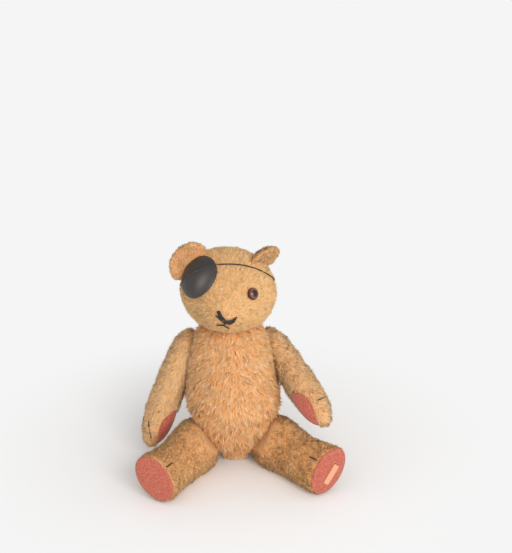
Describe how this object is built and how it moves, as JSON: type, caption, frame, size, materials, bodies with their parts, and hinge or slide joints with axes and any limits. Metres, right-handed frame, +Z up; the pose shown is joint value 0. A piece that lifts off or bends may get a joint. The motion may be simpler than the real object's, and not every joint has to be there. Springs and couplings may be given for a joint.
{
  "type": "teddy bear",
  "caption": "Small jointed plush teddy bear worn thin, seated, with felt pads, stitched nose, a glass eye and a leather eye patch on a cord; head, arms and legs turn on disc joints.",
  "frame": {"origin": "middle of the flat seat under the body, on the floor", "axes": "+Z up, -Y towards where the bear faces, +X towards its own left side"},
  "size_m": [0.1953, 0.1576, 0.2172],
  "materials": {
    "plush": "short worn pile",
    "wadding": "loose fibre",
    "felt": "worn felt",
    "thread": "waxed thread",
    "leather": "smooth, worn",
    "eye_glass": "polished",
    "hardboard": "pressed board",
    "steel": "plain",
    "tape": "woven tape"
  },
  "bodies": {
    "torso": {"body_cover": "plush", "body_stuffing": "wadding", "left_hip_body_disc": "hardboard", "left_hip_body_washer": "steel", "left_hip_pin": "steel", "left_shoulder_body_disc": "hardboard", "left_shoulder_body_washer": "steel", "left_shoulder_pin": "steel", "neck_body_disc": "hardboard", "neck_body_washer": "steel", "neck_pin": "steel", "right_hip_body_disc": "hardboard", "right_hip_body_washer": "steel", "right_hip_pin": "steel", "right_shoulder_body_disc": "hardboard", "right_shoulder_body_washer": "steel", "right_shoulder_pin": "steel"},
    "head": {"eye": "eye_glass", "eye_patch": "leather", "eye_shank": "steel", "head_cover": "plush", "head_stuffing": "wadding", "left_ear": "plush", "mouth_stitches": "thread", "neck_limb_disc": "hardboard", "neck_limb_washer": "steel", "nose_stitches": "thread", "patch_cord": "leather", "right_ear": "plush"},
    "right_arm": {"right_arm_cover": "plush", "right_arm_stuffing": "wadding", "right_paw_claw_1": "thread", "right_paw_claw_2": "thread", "right_paw_pad": "felt", "right_shoulder_limb_disc": "hardboard", "right_shoulder_limb_washer": "steel"},
    "left_arm": {"left_arm_cover": "plush", "left_arm_stuffing": "wadding", "left_paw_claw_1": "thread", "left_paw_claw_2": "thread", "left_paw_pad": "felt", "left_shoulder_limb_disc": "hardboard", "left_shoulder_limb_washer": "steel"},
    "right_leg": {"right_foot_claw": "thread", "right_foot_pad": "felt", "right_hip_limb_disc": "hardboard", "right_hip_limb_washer": "steel", "right_leg_cover": "plush", "right_leg_stuffing": "wadding"},
    "left_leg": {"foot_label": "tape", "left_foot_claw": "thread", "left_foot_pad": "felt", "left_hip_limb_disc": "hardboard", "left_hip_limb_washer": "steel", "left_leg_cover": "plush", "left_leg_stuffing": "wadding"}
  },
  "joints": [
    {"name": "neck_turn", "type": "hinge", "parent": "torso", "child": "head", "pos_m": [-0.00305, 0.01971, 0.136], "axis": [0, 0.0698, 0.9976], "continuous": true},
    {"name": "right_shoulder_swing", "type": "hinge", "parent": "torso", "child": "right_arm", "pos_m": [-0.03591, 0.02323, 0.10897], "axis": [-0.933, 0.25, 0.2588], "range_deg": [-30, 105]},
    {"name": "left_shoulder_swing", "type": "hinge", "parent": "torso", "child": "left_arm", "pos_m": [0.03221, 0.02317, 0.10797], "axis": [-0.933, -0.25, -0.2588], "range_deg": [-75, 60]},
    {"name": "right_hip_swing", "type": "hinge", "parent": "torso", "child": "right_leg", "pos_m": [-0.02529, -0.00896, 0.03012], "axis": [-0.8434, 0.0886, -0.5299], "range_deg": [-90, 0]},
    {"name": "left_hip_swing", "type": "hinge", "parent": "torso", "child": "left_leg", "pos_m": [0.02512, -0.00914, 0.03012], "axis": [-0.8434, -0.0886, 0.5299], "range_deg": [-90, 0]}
  ]
}
